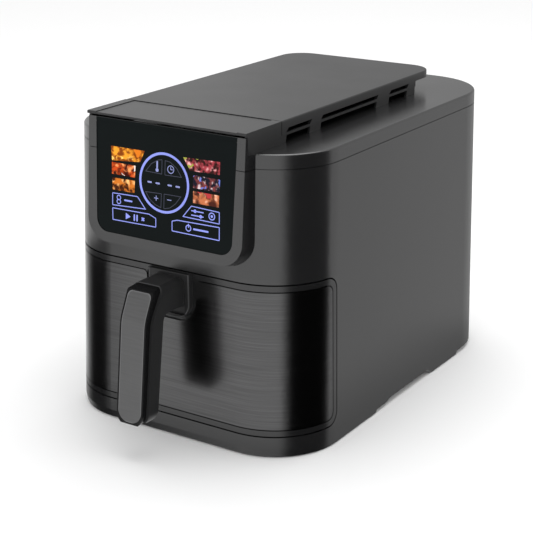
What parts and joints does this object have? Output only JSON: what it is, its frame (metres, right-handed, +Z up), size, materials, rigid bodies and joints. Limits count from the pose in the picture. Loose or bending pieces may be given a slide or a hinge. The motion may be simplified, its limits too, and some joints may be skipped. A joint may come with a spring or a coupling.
{
  "type": "air fryer",
  "caption": "Free-standing drawer air fryer with a raised touch console, a vented top deck, a front drawer with a hanging handle, and an inner pan with a lift-out crisper plate.",
  "frame": {"origin": "on the floor, under the middle of the body's plan at floor level", "axes": "-Y is the front with the console and the drawer, +Z is up, +X is the viewer's right when facing the front"},
  "size_m": [0.27, 0.4691, 0.2935],
  "materials": {
    "body": "satin",
    "deck": "satin",
    "drawer": "satin",
    "base": "matt",
    "trim": "brushed, dark",
    "grip": "satin",
    "grip_front": "gloss",
    "insert": "satin",
    "glass": "gloss, dark",
    "display": "gloss",
    "board": "satin",
    "sheet_steel": "satin",
    "bright_metal": "satin",
    "heater": "oxidised",
    "laminations": "stacked sheet",
    "screws": "bright",
    "switch": "matt",
    "nonstick": "non-stick coating",
    "pads": "matt"
  },
  "bodies": {
    "body": {"housing": "body", "base_plate": "base", "foot_pads": "pads", "base_screws": "screws", "upper_cap": "body", "display_glass": "glass", "display_module": "display", "display_board": "board", "console_cover": "deck", "vent_deck": "deck", "chamber": "sheet_steel", "chamber_roof": "sheet_steel", "front_frame": "sheet_steel", "drawer_rails": "sheet_steel", "interlock_switch": "switch", "heater": "heater", "reflector_dome": "bright_metal", "heater_guard": "sheet_steel", "motor_bracket": "sheet_steel", "motor_bridge_lower": "bright_metal", "motor_bridge_upper": "bright_metal", "motor_stator": "laminations", "motor_screws": "screws", "temperature_sensor": "screws", "thermal_cutout": "switch", "power_board": "board", "rear_vent": "base", "cord_gland": "pads"},
    "rotor": {"motor_shaft": "screws", "motor_rotor": "laminations", "hot_air_fan": "bright_metal", "cooling_fan": "bright_metal", "fan_nut": "screws"},
    "drawer": {"drawer_front": "drawer", "drawer_back": "base", "trim_panel": "trim", "handle_bracket": "grip", "handle_arm": "grip", "handle_shell": "grip_front", "handle_insert": "insert", "handle_screws": "screws", "pan": "nonstick", "pan_screws": "screws"},
    "crisper": {"crisper_plate": "nonstick", "crisper_bumpers": "pads"}
  },
  "joints": [
    {"name": "drawer_slide", "type": "slide", "parent": "body", "child": "drawer", "axis": [0, -1, 0], "range_m": [0, 0.24]},
    {"name": "crisper_lift", "type": "slide", "parent": "drawer", "child": "crisper", "axis": [0, 0, 1], "range_m": [0, 0.095]},
    {"name": "fan_spin", "type": "hinge", "parent": "body", "child": "rotor", "pos_m": [0, 0, 0.2], "axis": [0, 0, 1], "continuous": true}
  ]
}
